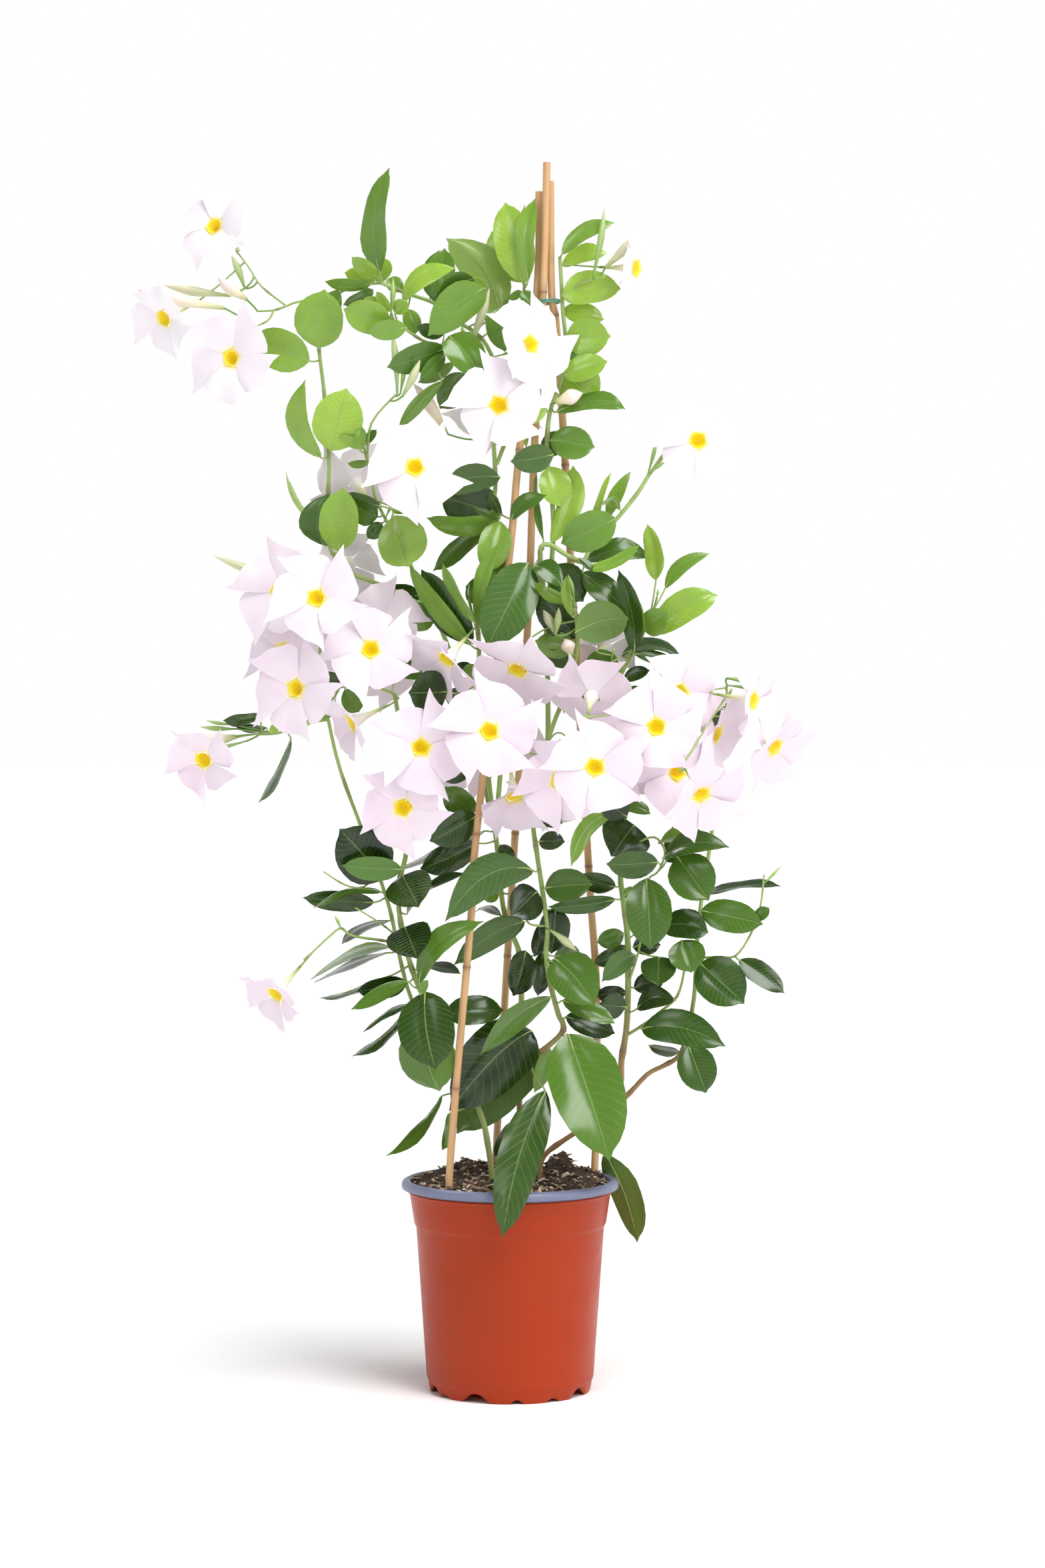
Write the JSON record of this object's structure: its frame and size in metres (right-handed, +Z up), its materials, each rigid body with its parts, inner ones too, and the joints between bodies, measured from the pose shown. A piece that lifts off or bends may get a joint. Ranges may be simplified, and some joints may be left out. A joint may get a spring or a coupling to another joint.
{
  "type": "potted climbing plant",
  "caption": "Flowering vine with glossy leaves and pale pink funnel blooms, trained up a tripod of canes in a round nursery pot with a rolled lip.",
  "frame": {"origin": "centre of the pot's base on the floor", "axes": "+Z up, +X to the right in the pictured view, +Y away from the viewer"},
  "size_m": [0.6536, 0.2606, 1.1861],
  "materials": {
    "pot_plastic": "satin",
    "compost": "matte",
    "cane": "satin",
    "tie_wire": "satin",
    "leaf": "satin",
    "petal": "matte"
  },
  "bodies": {
    "root": {"bloom_01": "petal", "bloom_02": "petal", "bloom_03": "petal", "bloom_04": "petal", "bloom_05": "petal", "bloom_06": "petal", "bloom_07": "petal", "bloom_08": "petal", "bloom_09": "petal", "bloom_10": "petal", "bloom_11": "petal", "bloom_12": "petal", "bloom_13": "petal", "bloom_14": "petal", "bloom_15": "petal", "bloom_16": "petal", "bloom_17": "petal", "bloom_18": "petal", "bloom_19": "petal", "bloom_20": "petal", "bloom_21": "petal", "bloom_22": "petal", "bloom_23": "petal", "bloom_24": "petal", "bloom_25": "petal", "bloom_26": "petal", "bloom_27": "petal", "bloom_28": "petal", "bloom_29": "petal", "bloom_30": "petal", "bloom_31": "petal", "bloom_32": "petal", "bloom_33": "petal", "bloom_34": "petal", "bloom_35": "petal", "bloom_36": "petal", "bloom_37": "petal", "bloom_38": "petal", "bloom_39": "petal", "bloom_40": "petal", "bloom_41": "petal", "bloom_42": "petal", "bloom_43": "petal", "branch_right": "leaf", "cane_back": "cane", "cane_left": "cane", "cane_right": "cane", "pot": "pot_plastic", "soil": "compost", "stem_center": "leaf", "stem_front": "leaf", "stem_left": "leaf", "stem_left_outer": "leaf", "stem_left_tall": "leaf", "stem_mid_right": "leaf", "stem_right": "leaf", "stem_top": "leaf", "stem_top_left": "leaf", "stem_top_right": "leaf", "tie": "tie_wire"}
  },
  "joints": []
}
